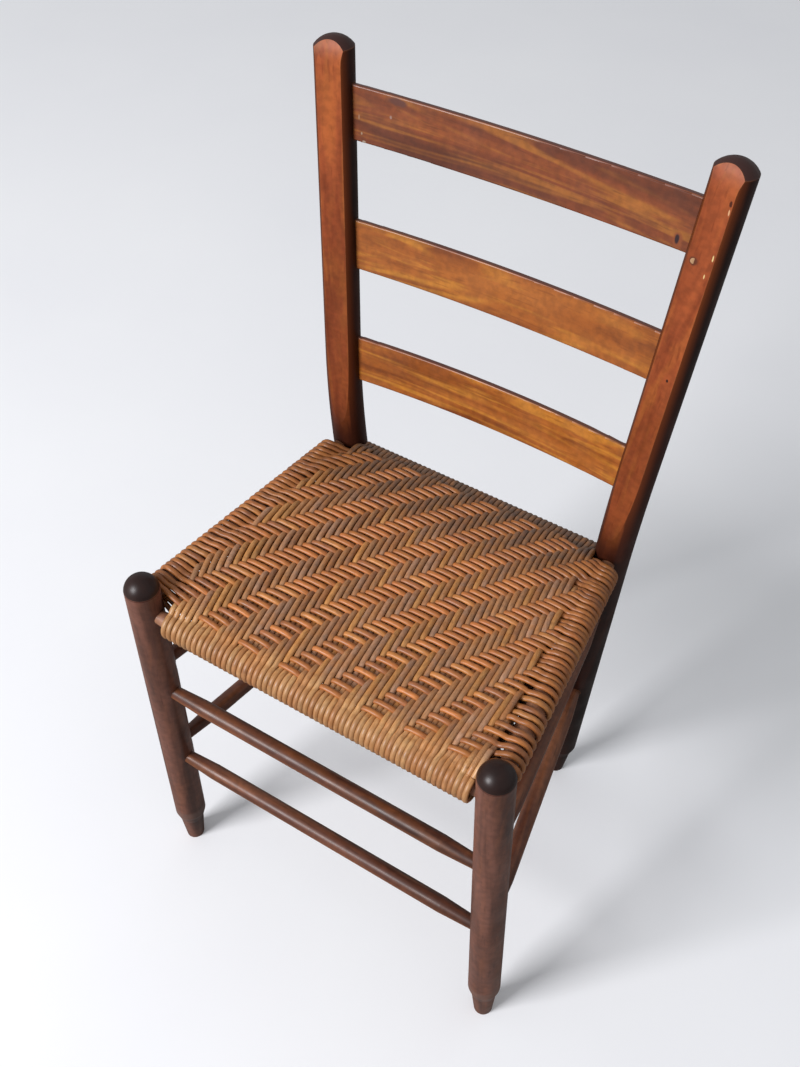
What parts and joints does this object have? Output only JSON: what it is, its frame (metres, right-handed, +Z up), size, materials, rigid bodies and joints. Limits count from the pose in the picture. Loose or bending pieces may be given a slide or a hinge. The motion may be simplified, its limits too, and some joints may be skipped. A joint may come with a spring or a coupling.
{
  "type": "ladderback side chair",
  "caption": "Armless wooden side chair with turned front posts, bent and shaved rear posts, curved back slats, turned rungs and a twill-woven reed seat.",
  "frame": {"origin": "on the floor, under the middle of the chair's plan (feet, posts and raked back together)", "axes": "+X to the sitter's left, which is the right side in a front view; the chair faces -Y; +Z up"},
  "size_m": [0.4368, 0.3822, 0.8702],
  "materials": {
    "post_wood": "worn satin varnish",
    "rung_wood": "worn satin varnish",
    "slat_wood": "worn satin varnish",
    "rail_wood": "worn satin varnish",
    "peg_wood": "worn satin varnish",
    "reed": "aged varnished round reed"
  },
  "bodies": {
    "root": {"front_left_post": "post_wood", "front_right_post": "post_wood", "rear_left_post": "post_wood", "rear_right_post": "post_wood", "top_slat": "slat_wood", "middle_slat": "slat_wood", "bottom_slat": "slat_wood", "front_upper_rung": "rung_wood", "front_lower_rung": "rung_wood", "left_upper_rung": "rung_wood", "left_lower_rung": "rung_wood", "right_upper_rung": "rung_wood", "right_lower_rung": "rung_wood", "rear_rung": "rung_wood", "front_rail": "rail_wood", "back_rail": "rail_wood", "left_rail": "rail_wood", "right_rail": "rail_wood", "woven_seat": "reed", "slat_peg": "peg_wood"}
  },
  "joints": []
}
